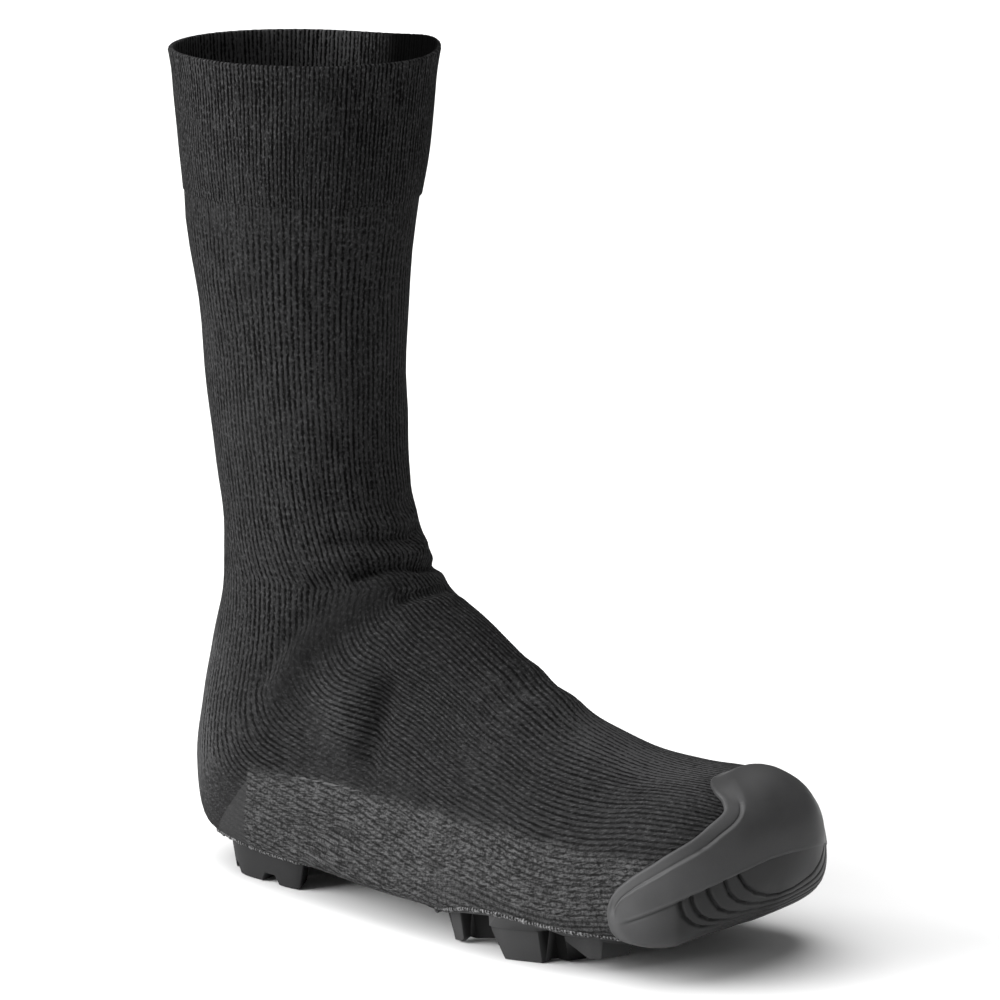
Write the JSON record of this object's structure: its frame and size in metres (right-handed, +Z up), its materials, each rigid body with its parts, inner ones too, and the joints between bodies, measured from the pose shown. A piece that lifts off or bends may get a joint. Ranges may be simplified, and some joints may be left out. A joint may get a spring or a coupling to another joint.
{
  "type": "overshoe",
  "caption": "Knitted cycling overshoe: ribbed sock upper with a doubled collar, moulded rubber toe cap, and underside openings over a lugged sole.",
  "frame": {"origin": "on the floor under the middle of the shoe's box", "axes": "+X to the toe, +Y to the inner side of this right shoe, +Z up"},
  "size_m": [0.3003, 0.1109, 0.3387],
  "materials": {
    "knit": "ribbed knit, charcoal with lighter flecks",
    "cap_rubber": "matte moulded",
    "plate": "matte",
    "tread_rubber": "matte moulded"
  },
  "bodies": {
    "root": {"knit_upper": "knit", "toe_cap": "cap_rubber", "sole_plate": "plate", "heel_tread": "tread_rubber", "forefoot_tread_outer": "tread_rubber", "forefoot_tread_inner": "tread_rubber"}
  },
  "joints": []
}
